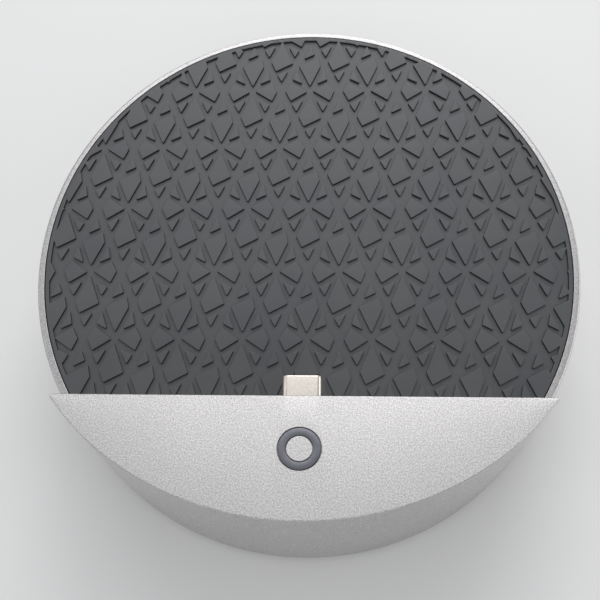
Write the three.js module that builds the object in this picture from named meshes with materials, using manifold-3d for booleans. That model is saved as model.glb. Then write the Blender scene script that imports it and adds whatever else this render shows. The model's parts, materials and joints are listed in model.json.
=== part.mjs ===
// A round tabletop docking receiver for a portable audio player.
// An aluminium drum is cut by a slanted deck with a rubber pad; a half-moon ledge stands in front of the
// deck and carries a tilting USB-C plug. Boards, sockets and ballast sit inside, on the base plate.
// Millimetres, +Z up, origin at the bottom centre, ledge towards -Y, rear panel towards +Y.
import * as THREE from "three";
import { mergeVertices } from "three/addons/utils/BufferGeometryUtils.js";
import Module from "manifold-3d";

const wasm = await Module();
wasm.setup();

// ---------- driving dimensions ----------
const BODY_RADIUS_TOP = 64.0; // outer radius at the ledge's height
const BODY_RADIUS_BASE = 64.6; // the wall has a slight draft
const BODY_BOTTOM = 1.0; // the wall stops above the table, which the foot ring touches
const BODY_TOP = 39.5; // top of the ledge and of the rear rim
const BASE_CHAMFER = 0.5;
const WALL = 2.4;
const BORE_RADIUS = BODY_RADIUS_TOP - WALL; // inside of the wall

const DECK_TILT = 10; // degrees, rising to the rear
const TILT = THREE.MathUtils.degToRad(DECK_TILT);
const DECK_Z = BODY_TOP - BODY_RADIUS_TOP * Math.tan(TILT); // deck height on the drum's axis
const WALL_B = -37.4; // the ledge's rear wall, in deck coordinates (b up the slope, n off it)
const LEDGE_WALL = 2.2;
const LEDGE_TOP = 2.2;

const PAD_RADIUS = 62.5; // recess that holds the pad
const PAD_THICKNESS = 1.5;
const DECK_THICKNESS = 2.3;
const GAP = 0.2; // between pieces that rest on or sit in each other
const RECESS_DEPTH = PAD_THICKNESS + DECK_THICKNESS + 2 * GAP;
const SHOULDER_THICKNESS = 2.0;
const SHOULDER_WIDTH = 2.0;

const EMBLEM = { y: -50.6, outer: 4.1, inner: 2.6, depth: 0.7, clearance: 0.15, sunk: 0.1 };

// The plug lies along the slope, PLUG_N above the pad. It and its carrier tilt about the pivot pin.
const PLUG_N = 9.0;
const PLUG = { width: 8.25, height: 2.4, wall: 0.25, reach: 6.05, root: 6.1 };
const PLUG_MOUTH = { halfWidth: 3.3, halfHeight: 0.4, depth: 5.8, setBack: 0.3 };
const PLUG_BOARD = { halfWidth: 6.5, halfHeight: 0.5, back: 3.6, front: 2.1 };
const PIVOT_B = WALL_B - 8.8;
const SLOT = { width: 10.2, height: 4.2 };
const CARRIER = { halfWidth: 8, back: 4.0, front: 4.4, halfHeight: 3.8 };
const PIN = { radius: 1.0, clearance: 0.05, halfLength: 11.1 };
const BRACKET = { plateN: 3.4, thickness: 1.2, halfWidth: 17, front: 4.2, back: 5.0 };
const BRACKET_EAR = { x: 9.2, width: 1.5, halfLength: 3, top: 3 };
const BRACKET_SCREW_X = 14.0;
const BRACKET_SCREW = { head: 2.2, headHeight: 1.25, shank: 0.95, reach: 6, way: 1.4 };
const BRACKET_BOSS = { radius: 2.5, top: 18.6, holeTop: 12 }; // runs into the ledge's underside
const GASKET = { thickness: 0.8, margin: 3.2, corner: 2.5 };

const BASE = { radius: 61.3, bottom: 1.6, thickness: 2.4 };
const BASE_TOP = BASE.bottom + BASE.thickness;
const FOOT = { outer: 60.3, inner: 55.4, groove: 0.4 };
const BOSS = { x: 39.8, y: 33.4, radius: 3.2, hole: 1.1, top: 13.0, cap: 1.5, ribHalf: 1.0 };
const BASE_SCREW = { head: 2.5, seat: 3.0, seatDepth: 1.3, way: 1.5, shank: 1.0, drive: 0.9, reach: 5 };
const STANDOFF = { x: 31, front: -34, rear: 30, radius: 3.0, hole: 1.0 };
const BALLAST = { halfWidth: 26, halfLength: 38, thickness: 2.8 };

const BOARD = { halfWidth: 36, front: -40, rear: 44, bottom: 9.0, thickness: 1.6 };
const BOARD_TOP = BOARD.bottom + BOARD.thickness;
const SOLDER = 0.1; // gap of soldered pieces above the board
const BOARD_SCREW = { head: 2.0, headHeight: 1.45, shank: 0.85, reach: 5.5, way: 1.2 };
// Soldered on the board: x from and to, y from and to, height.
const COMPONENTS = {
  flex_socket: { x: [-5, 5], y: [-38.6, -34.4], height: 1.8 },
  codec_chip: { x: [-16, -8], y: [2, 10], height: 0.9 },
  power_inductor: { x: [12, 18.5], y: [-12, -5.5], height: 3.2 },
  wireless_module: { x: [8, 25], y: [12, 35], height: 0.9 },
};
const CAPACITOR = { x: [-28, -20.5, -13, -5.5], y: 22, radius: 2.6, height: 7.2 };
const SHIELD = { x: [9, 24], y: [13, 28], height: 2.2, wall: 0.3 };
const ANTENNA = { x: [12, 21], y: [31, 33.2], height: 1.1 };
const RIBBON = { halfWidth: 4, halfThickness: 0.12 };

const WINDOW = { halfWidth: 28, bottom: 6.0, top: 26.0 };
const PANEL = { face: 54.5, thickness: 2.0, returnWall: 1.6, setBack: 0.3 };
const SOCKET_Z = 17.0;
const JACK = { x: [-19, -5], barrel: 4.15, barrelBore: 3.55, insert: 3.4, bore: 1.6, end: 62.4 };
const JACK_SET_BACK = 0.6; // of the insert behind the barrel's end
const JACK_HOUSING = { halfWidth: 6, back: 41.5, top: 23 };
const INLET = { x: 8.5, z: 12.4, width: 8.94, height: 3.16, wall: 0.3, depth: 7.2 };
const TONGUE = { halfWidth: 3.35, halfHeight: 0.35, setBack: 1.2 };
const BUTTON = { x: 21, z: 15.5, radius: 3.0, flange: 3.8, proud: 1.5, travel: 0.6 };
const STEM = { radius: 1.2, end: 48.75 };
const SWITCH = { halfWidth: 3, back: 44.4, top: 18.5, plunger: 1.6, plungerLength: 0.8 };
const LENS = { x: 15.2, z: 15.5, radius: 1.0, back: 49.0, proud: 0.2 };
const LED = { halfWidth: 1.5, back: 45.8, front: 48.7, rise: 1.2 };

const BIG_SIDES = 96;
const MID_SIDES = 28;
const SMALL_SIDES = 16;
const FAR = 90; // larger than the body, for cutting tools

// ---------- materials ----------
const finish = (color, metalness, roughness) =>
  new THREE.MeshStandardMaterial({ color, metalness, roughness });
const ALUMINIUM = finish(0xc6c5c4, 0.9, 0.45);
const RUBBER = finish(0x4b4d50, 0, 0.8);
const DARK_INLAY = finish(0x6d6f76, 0.6, 0.35);
const BLACK_PLASTIC = finish(0x1d1e20, 0, 0.5);
const GREY_PLASTIC = finish(0x47494c, 0, 0.6);
const NICKEL = finish(0xd9cfbf, 1, 0.25);
const STEEL = finish(0x8e9194, 1, 0.35);
const BOARD_GREEN = finish(0x16351f, 0, 0.5);
const SHIELD_TIN = finish(0xb9bbbd, 1, 0.4);
const CHIP_BLACK = finish(0x151515, 0, 0.6);
const RIBBON_ORANGE = finish(0x9a5a1c, 0, 0.5);
const SILICONE = finish(0x2a2a2a, 0, 0.8);
const JACK_WHITE = finish(0xe8e6e0, 0, 0.5);
const JACK_RED = finish(0x9c1f1f, 0, 0.5);
const LENS_CLEAR = finish(0xe8eef2, 0, 0.1);

// ---------- geometry helpers ----------
const box = (x0, x1, y0, y1, z0, z1) =>
  new THREE.BoxGeometry(x1 - x0, y1 - y0, z1 - z0).translate((x0 + x1) / 2, (y0 + y1) / 2, (z0 + z1) / 2);

// An upright cylinder between two heights.
const post = (radius, z0, z1, x = 0, y = 0, sides = SMALL_SIDES) =>
  new THREE.CylinderGeometry(radius, radius, z1 - z0, sides)
    .rotateX(Math.PI / 2)
    .translate(x, y, (z0 + z1) / 2);

// A cylinder along Y between two places.
const rodY = (radius, y0, y1, x, z, sides = MID_SIDES) =>
  new THREE.CylinderGeometry(radius, radius, y1 - y0, sides).translate(x, (y0 + y1) / 2, z);

// A cylinder along X, centred on the origin's YZ plane.
const rodX = (radius, halfLength, y, z, sides = SMALL_SIDES) =>
  new THREE.CylinderGeometry(radius, radius, 2 * halfLength, sides)
    .rotateZ(Math.PI / 2)
    .translate(0, y, z);

// A solid of revolution about Z from [radius, height] points that run from the axis back to the axis.
const turned = (points, sides = BIG_SIDES) =>
  new THREE.LatheGeometry(points.map(([r, z]) => new THREE.Vector2(r, z)), sides).rotateX(Math.PI / 2);

// A rounded bar along Y: a rectangle in XZ with corners of the given radius.
function bar(width, height, radius, y0, y1, x, z) {
  const w = width / 2 - radius;
  const h = height / 2 - radius;
  const outline = new THREE.Shape();
  outline.moveTo(w, -h - radius);
  outline.absarc(w, -h, radius, -Math.PI / 2, 0, false);
  outline.absarc(w, h, radius, 0, Math.PI / 2, false);
  outline.absarc(-w, h, radius, Math.PI / 2, Math.PI, false);
  outline.absarc(-w, -h, radius, Math.PI, Math.PI * 1.5, false);
  return new THREE.ExtrudeGeometry(outline, { depth: y1 - y0, bevelEnabled: false, curveSegments: 5 })
    .rotateX(Math.PI / 2)
    .translate(x, y1, z);
}

function solidOf(geometry) {
  const bare = geometry.clone();
  bare.deleteAttribute("normal");
  bare.deleteAttribute("uv");
  const merged = mergeVertices(bare, 1e-4);
  return new wasm.Manifold(
    new wasm.Mesh({
      numProp: 3,
      vertProperties: merged.attributes.position.array,
      triVerts: new Uint32Array(merged.index.array),
    }),
  );
}

function geometryOf(solid) {
  const mesh = solid.getMesh();
  return new THREE.BufferGeometry()
    .setAttribute("position", new THREE.BufferAttribute(mesh.vertProperties, 3))
    .setIndex(new THREE.BufferAttribute(mesh.triVerts, 1));
}

const join = (...pieces) => geometryOf(pieces.map(solidOf).reduce((sum, piece) => sum.add(piece)));
const cut = (piece, ...tools) =>
  geometryOf(tools.map(solidOf).reduce((rest, tool) => rest.subtract(tool), solidOf(piece)));
const common = (piece, ...others) =>
  geometryOf(others.map(solidOf).reduce((rest, other) => rest.intersect(other), solidOf(piece)));
const tube = (outer, inner, z0, z1, x, y, sides) =>
  cut(post(outer, z0, z1, x, y, sides), post(inner, z0 - 1, z1 + 1, x, y, sides));

// ---------- the assembly's groups ----------
const receiver = new THREE.Group();
// Deck coordinates: X across, Y (b) up the slope from the drum's axis, Z (n) off the pad's top face.
const dock = new THREE.Group();
dock.position.set(0, 0, DECK_Z);
dock.rotation.x = TILT;
dock.updateMatrix();
receiver.add(dock);
const onDeck = (geometry) => geometry.applyMatrix4(dock.matrix);

function add(name, geometry, material, parent = receiver) {
  const mesh = new THREE.Mesh(geometry, material.clone());
  mesh.name = name;
  parent.add(mesh);
  return mesh;
}

// ---------- housing ----------
const mirrored = [[1, 1], [-1, 1], [-1, -1], [1, -1]];

function bodyShell() {
  const drum = turned([
    [0, BODY_BOTTOM],
    [BODY_RADIUS_BASE - BASE_CHAMFER, BODY_BOTTOM],
    [BODY_RADIUS_BASE, BODY_BOTTOM + BASE_CHAMFER],
    [BODY_RADIUS_TOP, BODY_TOP],
    [0, BODY_TOP],
  ]);
  const seat = onDeck(box(-FAR, FAR, WALL_B, FAR, 0, FAR));
  const bore = post(BORE_RADIUS, -1, BODY_TOP - LEDGE_TOP, 0, 0, BIG_SIDES);
  const underDeck = onDeck(box(-FAR, FAR, -FAR, FAR, -FAR, -RECESS_DEPTH - SHOULDER_THICKNESS));
  const underLedge = onDeck(box(-FAR, FAR, -FAR, WALL_B - LEDGE_WALL, -FAR, FAR));
  const recess = common(
    post(PAD_RADIUS, 0, FAR, 0, 0, BIG_SIDES),
    onDeck(box(-FAR, FAR, WALL_B, FAR, -RECESS_DEPTH, 1)),
  );
  const opening = common(
    post(PAD_RADIUS - SHOULDER_WIDTH, 0, FAR, 0, 0, BIG_SIDES),
    onDeck(box(-FAR, FAR, WALL_B + SHOULDER_WIDTH, FAR, -RECESS_DEPTH - 3, 0)),
  );
  const slot = onDeck(
    bar(SLOT.width, SLOT.height, SLOT.height / 2, WALL_B - LEDGE_WALL - 1, WALL_B + 1, 0, PLUG_N),
  );
  const rearWindow = box(-WINDOW.halfWidth, WINDOW.halfWidth, 50, FAR, WINDOW.bottom, WINDOW.top);
  const { y, outer, inner, depth, clearance } = EMBLEM;
  const groove = tube(outer + clearance, inner - clearance, BODY_TOP - depth, BODY_TOP + 1, 0, y, MID_SIDES);
  const hollow = cut(
    drum, seat, common(bore, join(underDeck, underLedge)), recess, opening, slot, rearWindow, groove,
  );
  const baseBosses = mirrored.map(([sx, sy]) => {
    const boss = post(BOSS.radius, BASE_TOP + GAP, BOSS.top, sx * BOSS.x, sy * BOSS.y);
    const turn = Math.atan2(sy * BOSS.y, sx * BOSS.x);
    const from = Math.hypot(BOSS.x, BOSS.y);
    const to = BORE_RADIUS + WALL / 3;
    const rib = box(from, to, -BOSS.ribHalf, BOSS.ribHalf, BASE_TOP + GAP, BOSS.top).rotateZ(turn);
    return cut(join(boss, rib), post(BOSS.hole, 0, BOSS.top - BOSS.cap, sx * BOSS.x, sy * BOSS.y));
  });
  const bracketBosses = [-1, 1].map((side) => {
    const low = BRACKET.plateN + BRACKET.thickness + GAP;
    const x = side * BRACKET_SCREW_X;
    const boss = onDeck(post(BRACKET_BOSS.radius, low, BRACKET_BOSS.top, x, PIVOT_B));
    return cut(boss, onDeck(post(BOSS.hole, low - 1, BRACKET_BOSS.holeTop, x, PIVOT_B)));
  });
  return join(hollow, ...baseBosses, ...bracketBosses);
}

const deckDisc = (radius, top, bottom, clearance) =>
  common(
    post(radius, 0, FAR, 0, 0, BIG_SIDES),
    onDeck(box(-FAR, FAR, WALL_B + clearance, FAR, bottom, top)),
  );

add("body_shell", bodyShell(), ALUMINIUM);
add("rubber_pad", deckDisc(PAD_RADIUS - GAP, 0, -PAD_THICKNESS, GAP), RUBBER);
add(
  "deck_plate",
  deckDisc(PAD_RADIUS - 2 * GAP, -PAD_THICKNESS - GAP, -PAD_THICKNESS - GAP - DECK_THICKNESS, 2 * GAP),
  GREY_PLASTIC,
);
add(
  "emblem_ring",
  tube(
    EMBLEM.outer, EMBLEM.inner, BODY_TOP - EMBLEM.depth + EMBLEM.sunk, BODY_TOP - EMBLEM.sunk,
    0, EMBLEM.y, MID_SIDES,
  ),
  DARK_INLAY,
);

// ---------- plug module, in deck coordinates ----------
function addPlugModule() {
  const tip = WALL_B + PLUG.reach;
  const root = WALL_B - PLUG.root;
  const { width, height, wall } = PLUG;
  const lining = wall + 0.05;
  const shellBar = bar(width, height, height / 2, root, tip, 0, PLUG_N);
  const shellBore = bar(width - 2 * wall, height - 2 * wall, height / 2 - wall, root - 1, tip + 1, 0, PLUG_N);
  add("plug_shell", cut(shellBar, shellBore), NICKEL, dock);
  const insertBar = bar(
    width - 2 * lining, height - 2 * lining, height / 2 - lining, root, tip - PLUG_MOUTH.setBack, 0, PLUG_N,
  );
  const mouth = box(
    -PLUG_MOUTH.halfWidth, PLUG_MOUTH.halfWidth, tip - PLUG_MOUTH.depth, tip + 1,
    PLUG_N - PLUG_MOUTH.halfHeight, PLUG_N + PLUG_MOUTH.halfHeight,
  );
  add("plug_insert", cut(insertBar, mouth), BLACK_PLASTIC, dock);

  const { halfWidth, halfHeight } = CARRIER;
  const carrierBlock = box(
    -halfWidth, halfWidth, PIVOT_B - CARRIER.back, PIVOT_B + CARRIER.front,
    PLUG_N - halfHeight, PLUG_N + halfHeight,
  );
  const socket = bar(width + 0.1, height + 0.1, height / 2 + 0.05, root - 0.1, FAR, 0, PLUG_N);
  const pinHole = rodX(PIN.radius + PIN.clearance, FAR, PIVOT_B, PLUG_N);
  const boardHalf = PLUG_BOARD.halfWidth;
  const boardRise = PLUG_BOARD.halfHeight;
  const boardSlot = box(
    -boardHalf - GAP, boardHalf + GAP, -FAR, PIVOT_B - PLUG_BOARD.front + GAP,
    PLUG_N - boardRise - GAP / 2, PLUG_N + boardRise + GAP / 2,
  );
  add("plug_carrier", cut(carrierBlock, socket, pinHole, boardSlot), BLACK_PLASTIC, dock);
  add(
    "plug_board",
    box(
      -boardHalf, boardHalf, PIVOT_B - CARRIER.back - PLUG_BOARD.back, PIVOT_B - PLUG_BOARD.front,
      PLUG_N - boardRise, PLUG_N + boardRise,
    ),
    BOARD_GREEN,
    dock,
  );
  add("pivot_pin", rodX(PIN.radius, PIN.halfLength, PIVOT_B, PLUG_N), STEEL, dock);

  const plateTop = BRACKET.plateN + BRACKET.thickness;
  const plate = box(
    -BRACKET.halfWidth, BRACKET.halfWidth, PIVOT_B - BRACKET.back, PIVOT_B + BRACKET.front,
    BRACKET.plateN, plateTop,
  );
  const ears = [-1, 1].map((side) => {
    const middle = side * (BRACKET_EAR.x + BRACKET_EAR.width / 2);
    return box(
      middle - BRACKET_EAR.width / 2, middle + BRACKET_EAR.width / 2,
      PIVOT_B - BRACKET_EAR.halfLength, PIVOT_B + BRACKET_EAR.halfLength,
      plateTop - 0.5, PLUG_N + BRACKET_EAR.top,
    );
  });
  const screwHoles = [-1, 1].map((side) =>
    post(BRACKET_SCREW.way, BRACKET.plateN - 1, plateTop + 1, side * BRACKET_SCREW_X, PIVOT_B),
  );
  const earHole = rodX(PIN.radius + PIN.clearance, FAR, PIVOT_B, PLUG_N);
  add("dock_bracket", cut(join(plate, ...ears), earHole, ...screwHoles), STEEL, dock);
  add(
    "centring_pad",
    box(-5, 5, PIVOT_B - 3.4, PIVOT_B + 3.4, plateTop + GAP / 2, PLUG_N - halfHeight - 0.25),
    SILICONE,
    dock,
  );
  for (const [label, side] of [["left", -1], ["right", 1]]) {
    const x = side * BRACKET_SCREW_X;
    const headTop = BRACKET.plateN - 0.05;
    const head = post(BRACKET_SCREW.head, headTop - BRACKET_SCREW.headHeight, headTop, x, PIVOT_B);
    const shank = post(BRACKET_SCREW.shank, headTop - 0.5, plateTop + BRACKET_SCREW.reach, x, PIVOT_B);
    add("bracket_screw_" + label, join(head, shank), STEEL, dock);
  }

  const gasketFront = WALL_B - LEDGE_WALL - GAP;
  const gasketBack = gasketFront - GASKET.thickness;
  const gasketBody = bar(
    SLOT.width + GASKET.margin, SLOT.height + GASKET.margin, GASKET.corner,
    gasketBack, gasketFront, 0, PLUG_N,
  );
  const gasketHole = bar(
    SLOT.width - 0.2, SLOT.height - 0.2, SLOT.height / 2 - 0.1, gasketBack - 1, gasketFront + 1, 0, PLUG_N,
  );
  add("slot_gasket", cut(gasketBody, gasketHole), SILICONE, dock);
}
addPlugModule();

// ---------- base ----------
function addBase() {
  const { radius, bottom } = BASE;
  const plate = post(radius, bottom, BASE_TOP, 0, 0, BIG_SIDES);
  const footGroove = tube(FOOT.outer + GAP, FOOT.inner - GAP, 0, bottom + FOOT.groove, 0, 0, BIG_SIDES);
  const screwWays = mirrored.flatMap(([sx, sy]) => [
    post(BASE_SCREW.way, 0, BASE_TOP + 1, sx * BOSS.x, sy * BOSS.y),
    post(BASE_SCREW.seat, 0, bottom + BASE_SCREW.seatDepth, sx * BOSS.x, sy * BOSS.y),
  ]);
  const standoffs = mirrored.map(([sx, sy]) => {
    const y = sy > 0 ? STANDOFF.rear : STANDOFF.front;
    return post(STANDOFF.radius, BASE_TOP - 0.5, BOARD.bottom, sx * STANDOFF.x, y);
  });
  const threads = mirrored.map(([sx, sy]) => {
    const y = sy > 0 ? STANDOFF.rear : STANDOFF.front;
    return post(STANDOFF.hole, BASE_TOP, BOARD.bottom + 1, sx * STANDOFF.x, y);
  });
  add("base_plate", cut(join(plate, ...standoffs), footGroove, ...screwWays, ...threads), BLACK_PLASTIC);
  add("foot_ring", tube(FOOT.outer, FOOT.inner, 0, bottom + FOOT.groove - 0.1, 0, 0, BIG_SIDES), RUBBER);
  const { halfWidth, halfLength, thickness } = BALLAST;
  const ballastLow = BASE_TOP + GAP;
  add(
    "ballast_plate",
    box(-halfWidth, halfWidth, -halfLength, halfLength, ballastLow, ballastLow + thickness),
    STEEL,
  );
  mirrored.forEach(([sx, sy], i) => {
    const x = sx * BOSS.x;
    const y = sy * BOSS.y;
    const head = post(BASE_SCREW.head, bottom + 0.1, bottom + 1.2, x, y);
    const drive = post(BASE_SCREW.drive, bottom - 1, bottom + 0.8, x, y, 6);
    const shank = post(BASE_SCREW.shank, bottom + 1, BASE_TOP + BASE_SCREW.reach, x, y);
    add("base_screw_" + (i + 1), cut(join(head, shank), drive), STEEL);
  });
}
addBase();

// ---------- main board and what is soldered on it ----------
function addMainBoard() {
  const { halfWidth, front, rear, bottom } = BOARD;
  const board = box(-halfWidth, halfWidth, front, rear, bottom + GAP / 2, BOARD_TOP);
  const holes = mirrored.map(([sx, sy]) =>
    post(BOARD_SCREW.way, 0, BOARD_TOP + 1, sx * STANDOFF.x, sy > 0 ? STANDOFF.rear : STANDOFF.front),
  );
  add("main_board", cut(board, ...holes), BOARD_GREEN);
  mirrored.forEach(([sx, sy], i) => {
    const x = sx * STANDOFF.x;
    const y = sy > 0 ? STANDOFF.rear : STANDOFF.front;
    const headLow = BOARD_TOP + 0.05;
    const head = post(BOARD_SCREW.head, headLow, headLow + BOARD_SCREW.headHeight, x, y);
    const shank = post(BOARD_SCREW.shank, BOARD_TOP - BOARD_SCREW.reach, BOARD_TOP + 1, x, y);
    add("board_screw_" + (i + 1), join(head, shank), STEEL);
  });

  const floor = BOARD_TOP + SOLDER;
  const onFloor = ({ x, y, height }, low, wall = 0) =>
    box(x[0] + wall, x[1] - wall, y[0] + wall, y[1] - wall, low, low + height - wall);
  add("flex_socket", onFloor(COMPONENTS.flex_socket, floor), JACK_WHITE);
  add("codec_chip", onFloor(COMPONENTS.codec_chip, floor), CHIP_BLACK);
  add("power_inductor", onFloor(COMPONENTS.power_inductor, floor), CHIP_BLACK);
  CAPACITOR.x.forEach((x, i) => {
    const can = post(CAPACITOR.radius, floor, floor + CAPACITOR.height, x, CAPACITOR.y);
    add("filter_capacitor_" + (i + 1), can, STEEL);
  });

  add("wireless_module", onFloor(COMPONENTS.wireless_module, floor), BOARD_GREEN);
  const canFloor = floor + COMPONENTS.wireless_module.height + SOLDER;
  const hollow = onFloor({ ...SHIELD, height: SHIELD.height + 1 }, canFloor - 1, SHIELD.wall);
  add("module_shield", cut(onFloor(SHIELD, canFloor), hollow), SHIELD_TIN);
  add("chip_antenna", onFloor(ANTENNA, canFloor), JACK_WHITE);
}
addMainBoard();

// The ribbon runs from the plug's board back, down and under the deck to its socket.
function ribbonCable() {
  const endB = PIVOT_B - CARRIER.back - PLUG_BOARD.back - 0.3;
  const boardEnd = new THREE.Vector3(0, endB, PLUG_N).applyMatrix4(dock.matrix);
  const slope = new THREE.Vector3(0, 1, 0).transformDirection(dock.matrix);
  const ahead = boardEnd.clone().addScaledVector(slope, -1.5);
  const route = new THREE.CatmullRomCurve3([
    boardEnd,
    ahead,
    new THREE.Vector3(0, ahead.y - 0.6, ahead.z - 3.5),
    new THREE.Vector3(0, ahead.y + 1.5, ahead.z - 11),
    new THREE.Vector3(0, -47, 12.6),
    new THREE.Vector3(0, -43, 11.6),
    new THREE.Vector3(0, -38.9, 11.5),
  ]);
  const section = new THREE.Shape();
  section.moveTo(-RIBBON.halfWidth, -RIBBON.halfThickness);
  section.lineTo(RIBBON.halfWidth, -RIBBON.halfThickness);
  section.lineTo(RIBBON.halfWidth, RIBBON.halfThickness);
  section.lineTo(-RIBBON.halfWidth, RIBBON.halfThickness);
  section.closePath();
  return new THREE.ExtrudeGeometry(section, { steps: 24, extrudePath: route, bevelEnabled: false });
}
add("flex_cable", ribbonCable(), RIBBON_ORANGE);

// ---------- rear panel, sockets, button and light ----------
function addRearPanel() {
  const { face, thickness, returnWall } = PANEL;
  const back = face - thickness;
  const halfWidth = WINDOW.halfWidth - GAP;
  const low = WINDOW.bottom + GAP;
  const high = WINDOW.top - GAP;
  const plate = box(-halfWidth, halfWidth, back, face, low, high);
  // A collar lines the window; its outer edge follows the drum.
  const collarBlock = cut(
    box(-halfWidth, halfWidth, face - 0.5, BODY_RADIUS_TOP, low, high),
    box(-halfWidth + returnWall, halfWidth - returnWall, 0, FAR, low + returnWall, high - returnWall),
  );
  const collar = common(collarBlock, post(BODY_RADIUS_TOP - PANEL.setBack, 0, BODY_TOP, 0, 0, BIG_SIDES));
  const openings = [
    ...JACK.x.map((x) => rodY(JACK.barrel + GAP, 0, FAR, x, SOCKET_Z)),
    bar(INLET.width + 0.6, INLET.height + 0.6, INLET.height / 2 + 0.3, 0, FAR, INLET.x, INLET.z),
    rodY(BUTTON.radius + GAP, 0, FAR, BUTTON.x, BUTTON.z),
    rodY(LENS.radius + 0.15, 0, FAR, LENS.x, LENS.z, SMALL_SIDES),
  ];
  add("rear_panel", cut(join(plate, collar), ...openings), BLACK_PLASTIC);

  JACK.x.forEach((x, i) => {
    const name = "line_jack_" + ["right", "left"][i];
    const start = back - GAP;
    const housing = box(
      x - JACK_HOUSING.halfWidth, x + JACK_HOUSING.halfWidth, JACK_HOUSING.back, start,
      BOARD_TOP + SOLDER, JACK_HOUSING.top,
    );
    add(name + "_housing", housing, BLACK_PLASTIC);
    const barrel = cut(
      rodY(JACK.barrel, start + 0.1, JACK.end, x, SOCKET_Z),
      rodY(JACK.barrelBore, 0, FAR, x, SOCKET_Z),
    );
    add(name + "_barrel", barrel, NICKEL);
    const insert = cut(
      rodY(JACK.insert, start + 0.1, JACK.end - JACK_SET_BACK, x, SOCKET_Z),
      rodY(JACK.bore, start + 2, FAR, x, SOCKET_Z),
    );
    add(name + "_insert", insert, [JACK_RED, JACK_WHITE][i]);
  });

  const inletFront = face - 0.1;
  const inletBack = inletFront - INLET.depth;
  const inletRound = INLET.height / 2;
  const innerWidth = INLET.width - 2 * INLET.wall;
  const innerHeight = INLET.height - 2 * INLET.wall;
  const inletShell = cut(
    bar(INLET.width, INLET.height, inletRound, inletBack, inletFront, INLET.x, INLET.z),
    bar(innerWidth, innerHeight, innerHeight / 2, inletBack + 0.8, FAR, INLET.x, INLET.z),
  );
  add("power_inlet_shell", inletShell, NICKEL);
  const tongue = box(
    INLET.x - TONGUE.halfWidth, INLET.x + TONGUE.halfWidth, inletBack + 1, inletFront - TONGUE.setBack,
    INLET.z - TONGUE.halfHeight, INLET.z + TONGUE.halfHeight,
  );
  add("power_inlet_tongue", tongue, BLACK_PLASTIC);

  const buttonCap = join(
    rodY(BUTTON.radius, back - 0.5, face + BUTTON.proud, BUTTON.x, BUTTON.z),
    rodY(BUTTON.flange, back - 1.2, back - 0.1, BUTTON.x, BUTTON.z),
    rodY(STEM.radius, STEM.end, back - 0.5, BUTTON.x, BUTTON.z, SMALL_SIDES),
  );
  add("pairing_button", buttonCap, GREY_PLASTIC);
  const switchFace = STEM.end - BUTTON.travel - 0.15;
  const caseFront = switchFace - SWITCH.plungerLength;
  const switchBody = box(
    BUTTON.x - SWITCH.halfWidth, BUTTON.x + SWITCH.halfWidth, SWITCH.back, caseFront,
    BOARD_TOP + SOLDER, SWITCH.top,
  );
  const plunger = rodY(SWITCH.plunger, caseFront - 0.4, switchFace, BUTTON.x, BUTTON.z, SMALL_SIDES);
  add("pairing_switch", join(switchBody, plunger), CHIP_BLACK);

  const lens = rodY(LENS.radius, LENS.back, face + LENS.proud, LENS.x, LENS.z, SMALL_SIDES);
  add("status_lens", lens, LENS_CLEAR);
  const ledBlock = box(
    LENS.x - LED.halfWidth, LENS.x + LED.halfWidth, LED.back, LED.front,
    BOARD_TOP + SOLDER, LENS.z + LED.rise,
  );
  add("status_led", ledBlock, JACK_WHITE);
}
addRearPanel();

export default receiver;
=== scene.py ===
"""The finished look of a round docking receiver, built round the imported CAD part.

Shapes are made in millimetres, in the CAD's own frame, and scaled to metres as they become pieces.
Deck coordinates are (a, b, n): a across, b up the slope from the drum's axis, and n off the pad's
top face.
"""

import json
import math

import bmesh
import bpy
from mathutils import Matrix, Vector
from mathutils.geometry import delaunay_2d_cdt

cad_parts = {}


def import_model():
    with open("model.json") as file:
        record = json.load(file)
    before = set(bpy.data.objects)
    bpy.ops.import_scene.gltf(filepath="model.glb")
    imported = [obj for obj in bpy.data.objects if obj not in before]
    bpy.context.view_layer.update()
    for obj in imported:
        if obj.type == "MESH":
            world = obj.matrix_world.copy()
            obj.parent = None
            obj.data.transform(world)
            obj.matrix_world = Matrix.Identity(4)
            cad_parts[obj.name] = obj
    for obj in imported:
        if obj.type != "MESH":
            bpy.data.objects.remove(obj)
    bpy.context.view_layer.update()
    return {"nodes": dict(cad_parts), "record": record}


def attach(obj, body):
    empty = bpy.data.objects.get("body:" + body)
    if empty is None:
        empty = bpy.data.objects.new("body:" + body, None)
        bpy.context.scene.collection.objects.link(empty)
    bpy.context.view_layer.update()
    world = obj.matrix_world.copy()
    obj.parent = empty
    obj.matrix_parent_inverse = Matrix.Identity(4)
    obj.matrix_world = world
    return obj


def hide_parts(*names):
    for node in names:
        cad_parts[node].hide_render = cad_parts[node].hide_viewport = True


# ---------- driving dimensions, in millimetres, as in the CAD ----------
MM = 0.001
BODY_RADIUS_TOP = 64.0
BODY_RADIUS_BASE = 64.6
BODY_BOTTOM = 1.0
BODY_TOP = 39.5
BASE_CHAMFER = 0.5
BORE_RADIUS = 61.6
TILT = math.radians(10)
DECK_Z = BODY_TOP - BODY_RADIUS_TOP * math.tan(TILT)
WALL_B = -37.4  # the ledge's rear wall, square to the deck
LEDGE_WALL = 2.2
LEDGE_TOP = 2.2
RECESS_RADIUS = 62.5
RECESS_DEPTH = 4.2
SHOULDER = 2.0  # width and thickness of the shelf under the deck plate
GAP = 0.2  # between pieces fitted into each other
FAR = 90.0  # past the body in any direction

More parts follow.
